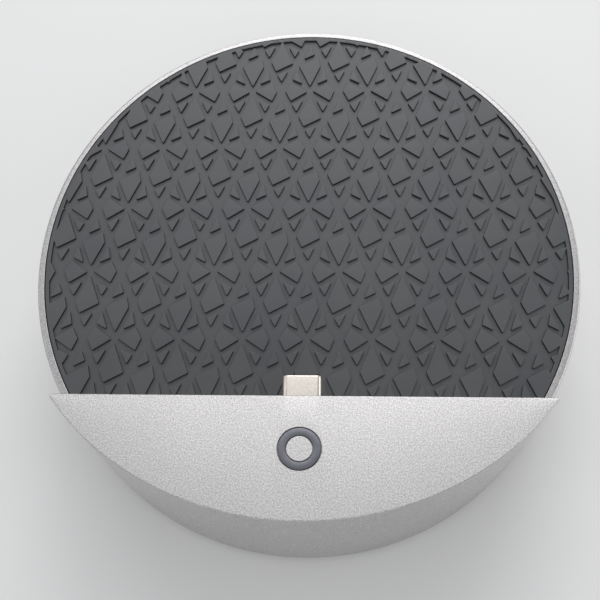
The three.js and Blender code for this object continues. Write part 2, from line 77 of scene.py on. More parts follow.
# ---------- the body's edges ----------
RIM_ROUNDING = 0.8  # outside of the rim round the pad
RECESS_ROUNDING = 0.12  # inside of that rim
ARC_ROUNDING = 0.22  # the ledge's front edge
RIDGE_ROUNDING = 0.3  # the ledge's rear edge
SLOT_ROUNDING = 0.25
CHAMFER_ROUNDINGS = [0.2, 0.4]  # the base chamfer's lower and upper edge
GROOVE_CHAMFER = 0.06
BLUNT = 0.6  # how far the ledge's sharp ends are cut back
END_CUTTER = 4.0  # reach of the block that blunts an end
END_CUTTER_HEIGHT = 30.0
HAIR = 0.004  # keeps two faces from lying in each other

# ---------- bosses inside the body ----------
BOSS_X = 39.8
BOSS_Y = 33.4
BOSS_TOP = 13.0
BOSS_RADIUS = 3.2
BOSS_HOLE = 1.1
BOSS_ROOF = 1.5  # left above the hole
BOSS_RIB = 2.0
RIB_OVERLAP = 0.8  # how far the rib runs into the wall
BRACKET_BOSS_X = 14.0
BRACKET_BOSS_RADIUS = 2.5
BRACKET_BOSS_LOW = 4.8
BRACKET_BOSS_HIGH = 18.6
BRACKET_HOLE_END = 12.0

# ---------- the inlay and the plug ----------
RING_Y = -50.6
RING_OUTER = 4.1
RING_INNER = 2.6
RING_DEPTH = 0.7
RING_CLEARANCE = 0.15
RING_SUNK = 0.1
RING_ROUNDING = 0.1

PLUG_N = 9.0
PLUG_WIDTH = 8.25
PLUG_HEIGHT = 2.4
PLUG_TIP = -31.35
PLUG_ROOT = -43.5
PLUG_LIP = 0.32  # rounding of the sleeve's outer edge
PLUG_WALL = 0.4
CORE_INSET = 0.42
CORE_SET_BACK = 0.3
MOUTH = (6.6, 0.8)
MOUTH_ROUNDING = 0.25
MOUTH_DEPTH = 5.8
PIVOT_B = WALL_B - 8.8  # the pin that the plug tilts about
SLOT_WIDTH = 10.2
SLOT_HEIGHT = 4.2

# ---------- the underside ----------
BASE_RADIUS = 61.3
BASE_BOTTOM = 1.6
BASE_TOP = 4.0
BASE_ROUNDING = 0.25
FOOT_OUTER = 60.3
FOOT_INNER = 55.4
FOOT_GROOVE = 0.4
SOLE_GROOVE = [(57.2, 0), (57.4, 0.3), (58.3, 0.3), (58.5, 0)]
WELL_RADIUS = 3.0
WELL_MOUTH = 3.6
WELL_FLARE_TOP = 1.9
WELL_TOP = 2.9
WELL_HOLE = 1.5
STANDOFF_X = 31.0
STANDOFF_Y = {1: 30.0, -1: -34.0}
STANDOFF_RADIUS = 3.0
STANDOFF_HOLE = 1.0
STANDOFF_TOP = 9.0
SCREW_HEAD = 2.5
SCREW_HEAD_TOP = 1.2
SCREW_SHANK = 1.0
SCREW_REACH = 5.0  # past the base plate
DRIVE_RADIUS = 0.9
DRIVE_DEPTH = 0.8
CORNERS = [(1, 1), (-1, 1), (-1, -1), (1, -1)]  # signs of x and y, in the order of the screws

# ---------- the rear bay ----------
WINDOW_HALF = 28.0
WINDOW_LOW = 6.0
WINDOW_HIGH = 26.0
WINDOW_MIDDLE = (WINDOW_LOW + WINDOW_HIGH) / 2
WINDOW_CORNER = 1.5
PANEL_FACE = 54.5
PANEL_BACK = 52.5
PANEL_CORNER = 1.3
COLLAR_WALL = 1.6
COLLAR_CORNER = 0.8
COLLAR_SET_BACK = 0.3
OPENING_BEVEL = 0.3
SOCKET_Z = 17.0
SOCKET_START = PANEL_BACK - 0.1  # inner end of the jacks' parts
JACK_X = {"right": -19, "left": -5}
JACK_COLOUR = {"right": "red_plastic", "left": "white_plastic"}
JACK_BARREL = 4.15
JACK_BORE = 3.55
JACK_INSERT = 3.4
JACK_HOLE = 1.6
JACK_END = 62.4
JACK_NECK = PANEL_FACE + 0.8  # where the groove round the barrel starts
NECK_DEPTH = 0.2
NECK_SLANT = 0.3
NECK_WIDTH = 1.5
INSERT_FRONT = JACK_END - 0.6
INSERT_FUNNEL = 0.6
INSERT_FLOOR = 2.0
CONTACT_OUTER = JACK_HOLE - 0.08
CONTACT_INNER = JACK_HOLE - 0.3
CONTACT_START = SOCKET_START + INSERT_FLOOR + 0.1
CONTACT_END = INSERT_FRONT - 1.4
CONTACT_SLANT = 0.2
INLET_X = 8.5
INLET_Z = 12.4
INLET_WIDTH = 8.94
INLET_HEIGHT = 3.16
INLET_DEPTH = 7.2
INLET_FRONT = PANEL_FACE - 0.1
INLET_BACK = INLET_FRONT - INLET_DEPTH
INLET_LIP = 0.2
INLET_WALL = 0.3
INLET_CLEARANCE = 0.3
SEAL_START = INLET_BACK + 0.1
SEAL_END = INLET_BACK + 0.8
SEAL_INSET = 0.4
TONGUE = (6.7, 0.7)
TONGUE_ROUNDING = 0.12
TONGUE_START = INLET_BACK + 1
TONGUE_TIP = INLET_FRONT - 1.2
TONGUE_TAPER = 0.25
TONGUE_TAPER_INSET = 0.15
STRIP = (0.26, 0.06)
STRIP_ROUNDING = 0.02
STRIP_START = TONGUE_START + 0.2
STRIP_END = TONGUE_TIP - 0.7
STRIP_PITCH = 0.5
STRIPS_A_SIDE = 12
BUTTON_X = 21.0
BUTTON_Z = 15.5
BUTTON_RADIUS = 3.0
BUTTON_FACE = PANEL_FACE + 1.5
BUTTON_DISH = 0.25
BUTTON_BRIM = 0.7  # level ring round the dished face
BUTTON_STEM = 1.2
BUTTON_STEM_END = 48.75
BUTTON_FLANGE = 3.8
FLANGE_FRONT = PANEL_BACK - 0.1
FLANGE_BACK = PANEL_BACK - 1.2
LENS_X = 15.2
LENS_Z = 15.5
LENS_RADIUS = 1.0
LENS_BACK = 49.0
LENS_FRONT = PANEL_FACE + 0.2
LENS_CLEARANCE = 0.15
LENS_EDGE_DROP = 0.15
LENS_CROWN = 0.7
LENS_CROWN_DROP = 0.03

# ---------- the pad's pattern ----------
PAD_RADIUS = 62.3
PAD_THICKNESS = 1.5
PAD_CHORD = WALL_B + GAP
RELIEF = 0.5  # height of the tiles above the channels
TILE_EDGE = 0.12  # rounding of the tiles' upper edges
TILE_CORNER = 0.22  # rounding of the tiles' corners in plan
BORDER = 0.95  # width of the plain border
CELL = Vector((14.84, 16.74))  # one repeat across, one row down
LATTICE_ORIGIN = Vector((0.51, 47.3))  # a star's centre on the top full row
LATTICE_ROWS = range(-2, 7)
LATTICE_STEPS = range(-5, 6)
PAD_SIDES = 288
# Tile corners as shares of a cell: across from the star's centre, and down the slope from it.
TILES = [
    [(0.0, -0.041), (-0.196, -0.420), (0.134, -0.572), (0.181, -0.407)],  # kite above the centre
    [(0.047, 0.041), (0.346, 0.221), (0.424, 0.048), (0.322, -0.117)],  # kite to the right
    [(-0.047, 0.055), (-0.330, 0.221), (-0.424, 0.048), (-0.322, -0.124)],  # kite to the left
    [(0.0, 0.096), (-0.189, 0.503), (-0.102, 0.675), (0.196, 0.531)],  # kite below the centre
    [(0.118, -0.083), (0.306, -0.165), (0.244, -0.365)],
    [(-0.306, -0.172), (-0.126, -0.083), (-0.244, -0.365)],
    [(-0.115, -0.544), (0.079, -0.634), (0.0, -0.786)],
    [(-0.314, 0.276), (-0.228, 0.420), (-0.110, 0.193)],
    [(0.110, 0.200), (0.228, 0.420), (0.306, 0.283)],
    [(-0.581, -0.262), (-0.498, -0.124), (-0.385, -0.338)],
]
SHARPEST = -0.6  # cosine between two sides' normals, at the sharpest corner that is rounded
EDGE_RINGS = [(1.0, 0.0), (0.29, 0.29), (0.0, 1.0)]  # a tile's edge, as shares inward and down
CHANNEL = 3  # layer of the channels' floor, below the edge's rings
UNDERSIDE = 4

# ---------- how finely things are made ----------
BIG_SIDES = 384
MID_SIDES = 96
SMALL_SIDES = 48
LONGEST_ROUNDING = 0.48  # share of a side that one corner's rounding may take
NEARLY = 0.999  # keeps the two corners of a round end apart
STRAIGHT = math.radians(89)  # half the angle at a corner too open to round
INSIDE_ONLY = 1  # delaunay_2d_cdt then gives the triangles inside the outlines
WELD = 1e-5  # plan points nearer than this become one

DECK = Matrix.Translation((0, 0, DECK_Z)) @ Matrix.Rotation(TILT, 4, "X")
ALONG_Y = Matrix.Rotation(math.radians(-90), 4, "X")
ALONG_X = Matrix(((0, 0, 1, 0), (1, 0, 0, 0), (0, 1, 0, 0), (0, 0, 0, 1)))
PLUG_AXIS = DECK @ Matrix.Translation((0, 0, PLUG_N)) @ ALONG_Y

# ---------- colours ----------
ALUMINIUM_TONE = (0.568, 0.556, 0.559, 1.0)
RUBBER_DARK = (0.070, 0.074, 0.082, 1.0)
RUBBER_LIGHT = (0.090, 0.092, 0.096, 1.0)

# ---------- floor, lights and camera, in metres ----------
FLOOR_HALF = 2.0
WORLD_COLOUR = (0.97, 0.985, 1.0, 1.0)
WORLD_STRENGTH = 0.385
# Name, place, width and height, watts; each light faces the object.
SOFTBOXES = [
    ("rear_high", (0, 0.5, 0.75), (0.9, 0.5), 2.6),
    ("rear_middle", (0.12, 0.8, 0.5), (0.6, 0.4), 2.1),
    ("front", (0, -0.8, 0.5), (1.0, 0.4), 1.5),
    ("right_low", (0.85, 0, 0.22), (0.8, 0.3), 1.6),
    ("left", (-0.8, 0, 0.5), (0.8, 0.4), 0.9),
    ("top", (0, 0, 1.0), (0.6, 0.6), 0.36),
]
CAMERA_SENSOR = 36.0  # width in millimetres, as the lens
CAMERA_LENS = 38.87
CAMERA_SHIFT = 0.0722
CAMERA_NEAREST = 0.005
CAMERA_PLACE = Vector((4.684, -87.339, 156.501)) * MM
CAMERA_RIGHT = Vector((0.99926, 0.02172, -0.03178))
CAMERA_FORWARD = Vector((-0.03815, 0.44813, -0.89315))


# ---------- shapes ----------
def filleted(points, radius, steps=4):
    """A closed outline with its corners rounded; radius is one number, or one for each corner."""
    radii = radius if hasattr(radius, "__len__") else [radius] * len(points)
    rounded = []
    for i, (corner, wanted) in enumerate(zip(points, radii)):
        here = Vector(corner)
        back = Vector(points[i - 1]) - here
        ahead = Vector(points[(i + 1) % len(points)]) - here
        half = back.angle(ahead) / 2
        if wanted <= 0 or half > STRAIGHT:
            rounded.append(here)
            continue
        shortest = min(back.length, ahead.length)
        reach = min(wanted / math.tan(half), LONGEST_ROUNDING * shortest)
        back.normalize()
        ahead.normalize()
        centre = here + (back + ahead).normalized() * reach / math.cos(half)
        first = here + back * reach - centre
        last = here + ahead * reach - centre
        sweep = math.pi - 2 * half
        for k in range(steps + 1):
            t = k / steps
            spoke = first * math.sin((1 - t) * sweep) + last * math.sin(t * sweep)
            rounded.append(centre + spoke / math.sin(sweep))
    return rounded


def rectangle(width, height):
    x = width / 2
    y = height / 2
    return [(-x, -y), (x, -y), (x, y), (-x, y)]


def stadium(width, height, steps=16):
    """A rectangle with round ends."""
    return filleted(rectangle(width, height), height / 2 * NEARLY, steps)


def turned(outline, sides=MID_SIDES):
    """A solid turned about Z from a closed outline of (radius, height) points.

    The outline is one list, or a function that gives the list for each turn about Z.
    """
    outline_at = outline if callable(outline) else lambda turn: outline
    bm = bmesh.new()
    on_axis = {i: bm.verts.new((0, 0, z)) for i, (r, z) in enumerate(outline_at(0)) if r == 0}
    columns = []
    for k in range(sides):
        turn = 2 * math.pi * k / sides
        column = []
        for i, (r, z) in enumerate(outline_at(turn)):
            place = (r * math.cos(turn), r * math.sin(turn), z)
            column.append(on_axis[i] if i in on_axis else bm.verts.new(place))
        columns.append(column)
    for k, here in enumerate(columns):
        there = columns[(k + 1) % sides]
        for i in range(len(here)):
            j = (i + 1) % len(here)
            corners = list(dict.fromkeys([here[i], there[i], there[j], here[j]]))
            if len(corners) > 2:
                bm.faces.new(corners)
    bmesh.ops.recalc_face_normals(bm, faces=bm.faces)
    return bm


def extruded(outline, low, high):
    """A prism of a closed (x, y) outline between two heights."""
    bm = bmesh.new()
    lower = [bm.verts.new((x, y, low)) for x, y in outline]
    upper = [bm.verts.new((x, y, high)) for x, y in outline]
    bm.faces.new(lower)
    bm.faces.new(upper)
    for i in range(len(outline)):
        bm.faces.new((lower[i - 1], lower[i], upper[i], upper[i - 1]))
    bmesh.ops.recalc_face_normals(bm, faces=bm.faces)
    return bm


def lofted(loops, capped=True):
    """A solid through closed loops of equally many points, capped at its ends or closed on itself."""
    bm = bmesh.new()
    rows = [[bm.verts.new(point) for point in loop] for loop in loops]
    pairs = list(zip(rows, rows[1:]))
    if capped:
        bm.faces.new(rows[0])
        bm.faces.new(rows[-1])
    else:
        pairs.append((rows[-1], rows[0]))
    for row, following in pairs:
        for i in range(len(row)):
            bm.faces.new((row[i - 1], row[i], following[i], following[i - 1]))
    bmesh.ops.recalc_face_normals(bm, faces=bm.faces)
    return bm


def block(x0, x1, y0, y1, z0, z1):
    return extruded([(x0, y0), (x1, y0), (x1, y1), (x0, y1)], z0, z1)


def post(radius, z0, z1, x=0, y=0, sides=BIG_SIDES):
    return moved(turned([(0, z0), (radius, z0), (radius, z1), (0, z1)], sides), x, y, 0)


def placed(bm, matrix):
    bmesh.ops.transform(bm, matrix=matrix, verts=bm.verts)
    return bm


def moved(bm, x, y, z):
    return placed(bm, Matrix.Translation((x, y, z)))


def holder(bm):
    """A short-lived object for a modifier to work on."""
    mesh = bpy.data.meshes.new("holder")
    bm.to_mesh(mesh)
    bm.free()
    obj = bpy.data.objects.new("holder", mesh)
    bpy.context.scene.collection.objects.link(obj)
    return obj


def combined(operation, base, *tools):
    """The first solid with the others cut from it or joined to it, or what it shares with them."""
    body = holder(base)
    others = [holder(tool) for tool in tools]
    for other in others:
        step = body.modifiers.new("step", "BOOLEAN")
        step.operation = operation
        step.solver = "MANIFOLD"
        step.object = other
    result = bmesh.new()
    result.from_object(body, bpy.context.evaluated_depsgraph_get())
    for used in [body, *others]:
        mesh = used.data
        bpy.data.objects.remove(used)
        bpy.data.meshes.remove(mesh)
    return result


def cut(base, *tools):
    return combined("DIFFERENCE", base, *tools)


def joined(base, *others):
    return combined("UNION", base, *others)


def common(base, *others):
    return combined("INTERSECT", base, *others)


# ---------- materials ----------
class Nodes:
    """A material's node tree, with short calls for what the finishes share."""

    def __init__(self, name):
        self.material = bpy.data.materials.new(name)
        self.material.use_nodes = True
        self.tree = self.material.node_tree
        self.shader = self.tree.nodes["Principled BSDF"]
        self.place = self.add("ShaderNodeTexCoord").outputs["Object"]

    def add(self, kind, inputs=(), **settings):
        node = self.tree.nodes.new(kind)
        for key, value in settings.items():
            setattr(node, key, value)
        for key, value in dict(inputs).items():
            if isinstance(value, bpy.types.NodeSocket):
                self.tree.links.new(value, node.inputs[key])
            else:
                node.inputs[key].default_value = value
        return node

    def noise(self, size, detail=2.0, roughness=0.5):
        """Smooth noise from 0 to 1 with lumps about size metres across."""
        inputs = {
            "Vector": self.place,
            "Scale": 0.5 / size,
            "Detail": detail,
            "Roughness": roughness,
        }
        return self.add("ShaderNodeTexNoise", inputs).outputs["Fac"]

    def spread(self, value, low, high, start=0.3, end=0.7):
        """The value's range from start to end, carried to low..high."""
        inputs = {
            "Value": value,
            "From Min": start,
            "From Max": end,
            "To Min": low,
            "To Max": high,
        }
        return self.add("ShaderNodeMapRange", inputs).outputs["Result"]

    def maths(self, operation, a, b):
        return self.add("ShaderNodeMath", {0: a, 1: b}, operation=operation).outputs[0]

    def mixed(self, factor, first, second, blend="MIX"):
        node = self.add("ShaderNodeMix", data_type="RGBA", blend_type=blend)
        for index, value in ((0, factor), (6, first), (7, second)):
            if isinstance(value, bpy.types.NodeSocket):
                self.tree.links.new(value, node.inputs[index])
            else:
                node.inputs[index].default_value = value
        return node.outputs[2]

    def set(self, **values):
        """Sets or links the shader's inputs, named in lower case with underscores."""
        for key, value in values.items():
            socket = self.shader.inputs[key.replace("_", " ").title().replace("Ior", "IOR")]
            if isinstance(value, bpy.types.NodeSocket):
                self.tree.links.new(value, socket)
            else:
                socket.default_value = value

    def bump(self, height, distance, strength=1.0):
        inputs = {"Height": height, "Distance": distance, "Strength": strength}
        normal = self.add("ShaderNodeBump", inputs).outputs["Normal"]
        self.tree.links.new(normal, self.shader.inputs["Normal"])


def grey(value):
    return (value, value, value, 1.0)


def aluminium():
    """Bead-blasted, anodised aluminium: a fine speckle, faint cloudiness and a soft gloss."""
    m = Nodes("aluminium_blasted")
    grain = m.noise(0.00012, detail=1.0)
    speckle = m.noise(0.00013, detail=1.0)
    cloud = m.noise(0.009, detail=1.0)
    shade = m.maths("MULTIPLY", m.spread(speckle, 0.74, 1.26), m.spread(cloud, 0.985, 1.015))
    shades = m.add("ShaderNodeCombineColor", {0: shade, 1: shade, 2: shade}).outputs[0]
    tone = m.mixed(1.0, ALUMINIUM_TONE, shades, "MULTIPLY")
    m.set(base_color=tone, metallic=1.0, roughness=m.spread(grain, 0.41, 0.51))
    m.bump(grain, 0.00001, 0.6)
    return m.material


def dust_specks(m):
    """Where the few pale specks of dust lie, from 0 to 1: small dots, in scattered patches."""
    inputs = {"Vector": m.place, "Scale": 260.0, "Randomness": 1.0}
    distance = m.add("ShaderNodeTexVoronoi", inputs).outputs["Distance"]
    dots = m.spread(distance, 1.0, 0.0, 0.03, 0.075)
    patches = m.spread(m.noise(0.004), 0.0, 1.0, 0.6, 0.72)
    return m.maths("MULTIPLY", dots, patches)


def painted_side_shade_mask(m):
    """The mask for the painted shade on the tiles' sides: 1 where a face lies in the deck's plane,
    falling to 0 on the tiles' steep sides.
    """
    normal = m.add("ShaderNodeTexCoord").outputs["Normal"]
    up = DECK.to_3x3() @ Vector((0, 0, 1))
    inputs = {0: normal, 1: up}
    level = m.add("ShaderNodeVectorMath", inputs, operation="DOT_PRODUCT").outputs["Value"]
    return m.spread(level, 0.0, 1.0, 0.2, 0.9)


def rubber():
    """Moulded silicone rubber: fine pebble, soft sheen, a little dust, and painted shade that darkens
    the tiles' steep sides.
    """
    m = Nodes("rubber_moulded")
    pebble = m.noise(0.00012, detail=2.0)
    cloud = m.noise(0.012, detail=2.0)
    dust = dust_specks(m)
    tone = m.mixed(m.spread(cloud, 0.0, 1.0), RUBBER_DARK, RUBBER_LIGHT)
    tone = m.mixed(m.maths("MULTIPLY", dust, 0.5), tone, grey(0.25))
    # painted shade: the tiles' steep sides are painted near black, as if they lay in shade
    tone = m.mixed(painted_side_shade_mask(m), grey(0.012), tone)
    m.set(base_color=tone, roughness=m.spread(cloud, 0.42, 0.50), specular_ior_level=0.55)
    m.bump(pebble, 0.00003, 0.5)
    return m.material


def plain(name, colour, metallic, roughness, size=0.0004, spread=0.06, depth=0.00002):
    """A moulded, plated or printed finish: slight changes of tone and gloss, and a fine grain."""
    m = Nodes(name)
    grain = m.noise(size)
    darker = tuple(c * (1 - spread) for c in colour) + (1.0,)
    lighter = tuple(min(1.0, c * (1 + spread)) for c in colour) + (1.0,)
    m.set(
        base_color=m.mixed(m.spread(grain, 0.0, 1.0), darker, lighter),
        metallic=metallic,
        roughness=m.spread(m.noise(size * 6), roughness * 0.92, roughness * 1.08),
    )
    m.bump(grain, depth, 0.5)
    return m.material


def make_finishes():
    """One finish for each material slot of the CAD record, and one for the foot."""
    return {
        "aluminium": aluminium(),
        "rubber": rubber(),
        "foot_rubber": plain("rubber_foot", (0.022, 0.022, 0.023), 0.0, 0.7),
        "dark_inlay": plain("inlay_dark", (0.155, 0.158, 0.18), 0.9, 0.35),
        "black_plastic": plain("plastic_black", (0.012, 0.012, 0.014), 0.0, 0.45),
        "grey_plastic": plain("plastic_grey", (0.06, 0.063, 0.068), 0.0, 0.55),
        "nickel": plain("nickel_plated", (0.86, 0.80, 0.73), 1.0, 0.33, size=0.0003, spread=0.07),
        "steel": plain("steel_zinc", (0.45, 0.46, 0.48), 1.0, 0.35),
        "circuit_board": plain("board_green", (0.012, 0.055, 0.02), 0.0, 0.4),
        "tin": plain("tin_plate", (0.6, 0.61, 0.62), 1.0, 0.35),
        "chip": plain("chip_epoxy", (0.01, 0.01, 0.01), 0.0, 0.55),
        "ribbon": plain("ribbon_film", (0.35, 0.12, 0.02), 0.0, 0.4),
        "silicone": plain("silicone_black", (0.02, 0.02, 0.021), 0.0, 0.7),
        "white_plastic": plain("plastic_white", (0.76, 0.75, 0.72), 0.0, 0.4),
        "red_plastic": plain("plastic_red", (0.42, 0.015, 0.015), 0.0, 0.4),
        "clear_plastic": plain("lens_frosted", (0.75, 0.80, 0.83), 0.0, 0.2),
    }


# ---------- pieces ----------
def piece(name, bm, material, body="receiver", replaces=(), sharp=40):
    """A shape in millimetres becomes a piece in metres that rides on a body."""
    bmesh.ops.scale(bm, vec=(MM, MM, MM), verts=bm.verts)
    mesh = bpy.data.meshes.new(name)
    bm.to_mesh(mesh)
    bm.free()
    mesh.shade_smooth()
    mesh.set_sharp_from_angle(angle=math.radians(sharp))
    mesh.materials.append(material)
    obj = bpy.data.objects.new(name, mesh)
    bpy.context.scene.collection.objects.link(obj)
    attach(obj, body)
    if replaces:
        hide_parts(*replaces)
    return obj


def even_normals(obj):
    """Broad flat faces keep their own direction and the rounded edges between them blend."""
    step = obj.modifiers.new("normals", "WEIGHTED_NORMAL")
    step.keep_sharp = True
    step.weight = 80


# ---------- the aluminium body ----------
def wall_radius(z):
    """The drum's outer radius at a height, with its slight draft."""
    share = (z - BODY_BOTTOM - BASE_CHAMFER) / (BODY_TOP - BODY_BOTTOM - BASE_CHAMFER)
    return BODY_RADIUS_BASE + (BODY_RADIUS_TOP - BODY_RADIUS_BASE) * share


def drum():
    outline = [
        (0, BODY_BOTTOM),
        (BODY_RADIUS_BASE - BASE_CHAMFER, BODY_BOTTOM),
        (BODY_RADIUS_BASE, BODY_BOTTOM + BASE_CHAMFER),
        (BODY_RADIUS_TOP, BODY_TOP),
        (0, BODY_TOP),
    ]
    return turned(filleted(outline, [0, *CHAMFER_ROUNDINGS, ARC_ROUNDING, 0], 4), BIG_SIDES)


def under_seat(turn):
    """Section of what the seat's cutter leaves: the rim round the pad's recess, its edges rounded."""
    slope = math.tan(TILT) * math.sin(turn)
    recess = RECESS_DEPTH / math.cos(TILT)
    crest = BODY_RADIUS_TOP * slope + DECK_Z
    outside = wall_radius(crest) + HAIR
    crest = outside * slope + DECK_Z
    foot = crest - 3 * RIM_ROUNDING
    inner_crest = RECESS_RADIUS * slope + DECK_Z
    outline = [
        (0, -FAR),
        (FAR, -FAR),
        (FAR, foot),
        (wall_radius(foot) + HAIR, foot),
        (outside, crest),
        (RECESS_RADIUS, inner_crest),
        (RECESS_RADIUS, inner_crest - recess),
        (0, DECK_Z - recess),
    ]
    return filleted(outline, [0, 0, 0, 0, RIM_ROUNDING, RECESS_ROUNDING, 0, 0], 5)


def deck_point(b, n):
    """A place on the deck's middle line as (y, z)."""
    y = b * math.cos(TILT) - n * math.sin(TILT)
    z = b * math.sin(TILT) + n * math.cos(TILT)
    return (y, DECK_Z + z)


def seat():
    """What is cut away over the deck, up to the ledge's wall, whose upper edge is rounded."""
    low = -RECESS_DEPTH - 1
    ridge_n = (BODY_TOP - DECK_Z - WALL_B * math.sin(TILT)) / math.cos(TILT)
    wall = [deck_point(WALL_B, low), deck_point(WALL_B, ridge_n), (-FAR, BODY_TOP)]
    profile = filleted(wall, [0, RIDGE_ROUNDING, 0], 4)[:-1]
    profile += [(profile[-1][0], FAR), (FAR, FAR), deck_point(FAR, low)]
    return cut(placed(extruded(profile, -FAR, FAR), ALONG_X), turned(under_seat, BIG_SIDES))


def ledge_end(side):
    """Cutter that blunts one of the ledge's sharp ends, from the deck up."""
    ends = []
    for n in (0.1, BODY_TOP - DECK_Z):
        y, z = deck_point(WALL_B, n)
        ends.append(Vector((side * math.sqrt(wall_radius(z) ** 2 - y ** 2), y, z)))
    up = (ends[1] - ends[0]).normalized()
    tangent = Vector((-ends[0].y, ends[0].x, 0)).normalized() * side
    out = (tangent + Vector((side, 0, 0))).normalized()
    out = (out - up * out.dot(up)).normalized()
    across = up.cross(out)
    matrix = Matrix((out, across, up)).transposed().to_4x4()
    matrix.translation = ends[0]
    cutter = block(-BLUNT, END_CUTTER, -END_CUTTER, END_CUTTER, 0, END_CUTTER_HEIGHT)
    return placed(cutter, matrix)


def ring_groove():
    """The groove in the ledge that the inlay lies in, its lips slightly chamfered."""
    low = BODY_TOP - RING_DEPTH
    inner = RING_INNER - RING_CLEARANCE
    outer = RING_OUTER + RING_CLEARANCE
    lip = BODY_TOP - GROOVE_CHAMFER
    outline = [
        (inner, low),
        (outer, low),
        (outer, lip),
        (outer + GROOVE_CHAMFER + 1, BODY_TOP + 1),
        (inner - GROOVE_CHAMFER - 1, BODY_TOP + 1),
        (inner, lip),
    ]
    return moved(turned(outline), 0, RING_Y, 0)


def plug_slot():
    """The slot in the ledge's wall, its edge rounded where the plug comes out."""
    rows = [(0, WALL_B - LEDGE_WALL - 1)]
    for k in range(5):
        turn = math.pi / 2 * k / 4
        down = SLOT_ROUNDING * (1 - math.sin(turn))
        rows.append((SLOT_ROUNDING * (1 - math.cos(turn)), WALL_B + HAIR - down))
    rows.append((SLOT_ROUNDING, WALL_B + 1))
    loops = []
    for grown, b in rows:
        outline = stadium(SLOT_WIDTH + 2 * grown, SLOT_HEIGHT + 2 * grown)
        loops.append([(x, b, PLUG_N + n) for x, n in outline])
    return placed(lofted(loops), DECK)


def rear_window():
    """The opening in the drum's back for the rear bay."""
    outline = filleted(rectangle(2 * WINDOW_HALF, WINDOW_HIGH - WINDOW_LOW), WINDOW_CORNER, 6)
    return to_rear(extruded(outline, 50, FAR), 0, WINDOW_MIDDLE)


def base_boss(x, y):
    """A screw boss with a rib that runs into the wall, and its hole."""
    low = BASE_TOP + GAP
    half = BOSS_RIB / 2
    rib = block(math.hypot(x, y), BORE_RADIUS + RIB_OVERLAP, -half, half, low, BOSS_TOP)
    rib = placed(rib, Matrix.Rotation(math.atan2(y, x), 4, "Z"))
    boss = post(BOSS_RADIUS, low, BOSS_TOP, x, y, SMALL_SIDES)
    return [boss, rib], post(BOSS_HOLE, 0, BOSS_TOP - BOSS_ROOF, x, y, SMALL_SIDES)


def bracket_boss(x):
    """A boss that hangs under the ledge's top for one screw of the plug's bracket, and its hole."""
    low = BRACKET_BOSS_LOW
    boss = post(BRACKET_BOSS_RADIUS, low, BRACKET_BOSS_HIGH, x, PIVOT_B, SMALL_SIDES)
    hole = post(BOSS_HOLE, low - 1, BRACKET_HOLE_END, x, PIVOT_B, SMALL_SIDES)
    return [placed(boss, DECK)], placed(hole, DECK)


def body_hollow():
    """The space inside the drum, under the recess and under the ledge."""
    floor = -RECESS_DEPTH - SHOULDER
    under_deck = placed(block(-FAR, FAR, -FAR, FAR, -FAR, floor), DECK)
    under_ledge = placed(block(-FAR, FAR, -FAR, WALL_B - LEDGE_WALL, -FAR, FAR), DECK)
    return common(post(BORE_RADIUS, -1, BODY_TOP - LEDGE_TOP), joined(under_deck, under_ledge))


def deck_opening():
    """The opening in the recess's floor, inside the shoulder."""
    through = block(-FAR, FAR, WALL_B + SHOULDER, FAR, -RECESS_DEPTH - 3, -1)
    return common(post(RECESS_RADIUS - SHOULDER, 0, FAR), placed(through, DECK))


def make_body(material):
    cutters = [seat(), body_hollow(), deck_opening(), ledge_end(1), ledge_end(-1)]
    cutters += [plug_slot(), rear_window(), ring_groove()]
    shell = cut(drum(), *cutters)
    bosses = [base_boss(sx * BOSS_X, sy * BOSS_Y) for sx in (1, -1) for sy in (1, -1)]
    bosses += [bracket_boss(BRACKET_BOSS_X), bracket_boss(-BRACKET_BOSS_X)]
    shell = joined(shell, *[solid for solids, _ in bosses for solid in solids])
    shell = cut(shell, *[hole for _, hole in bosses])
    even_normals(piece(
        "body_housing", shell, material, replaces=["body_shell"], sharp=30,
    ))


# ---------- the rubber pad ----------
def tile_outlines():
    """Every tile that touches the pad, as (a, b) outlines; some lie just past its edge."""
    outlines = []
    for row in LATTICE_ROWS:
        for step in LATTICE_STEPS:
            shift = Vector((CELL.x * (step + 0.5 * (row % 2)), -CELL.y * row))
            centre = LATTICE_ORIGIN + shift
            for tile in TILES:
                corners = [centre + Vector((x * CELL.x, -y * CELL.y)) for x, y in tile]
                if any(p.length < PAD_RADIUS + 3 and p.y > PAD_CHORD - 1 for p in corners):
                    outlines.append(filleted(anticlockwise(corners), TILE_CORNER, 2))
    return outlines


def anticlockwise(corners):
    """The corners in anticlockwise order."""
    area = sum(corners[i - 1].cross(corner) for i, corner in enumerate(corners))
    return corners if area > 0 else corners[::-1]


def pad_edge(radius, chord):
    """Where an upright cylinder, cut off at the chord, crosses the deck's plane."""
    slope = math.cos(TILT)
    start = math.asin(chord * slope / radius)
    sweep = math.pi - 2 * start
    turns = [start + sweep * k / PAD_SIDES for k in range(PAD_SIDES + 1)]
    return [Vector((radius * math.cos(t), radius * math.sin(t) / slope)) for t in turns]


def pad_faces():
    """The pad seen from above as triangles, each marked as raised or as the floor of a channel."""
    border = pad_edge(PAD_RADIUS - BORDER, PAD_CHORD - 0.5)  # no border along the chord
    loops = [pad_edge(PAD_RADIUS, PAD_CHORD), border, *tile_outlines()]
    points, faces = [], []
    for loop in loops:
        faces.append(list(range(len(points), len(points) + len(loop))))
        points.extend(loop)
    plan = delaunay_2d_cdt(points, [], faces, INSIDE_ONLY, WELD)
    points, _, triangles, _, _, sources = plan
    kept = []
    for corners, inside in zip(triangles, sources):
        # Outline 0 is the whole pad, 1 what lies inside its border, and the others are tiles.
        if 0 in inside:
            raised = 1 not in inside or any(i > 1 for i in inside)
            kept.append((corners, raised))
    return points, kept


def face_levels(faces):
    """For each directed side of a triangle, whether the triangle is raised."""
    level = {}
    for corners, raised in faces:
        for i in range(3):
            level[corners[i], corners[(i + 1) % 3]] = raised
    return level


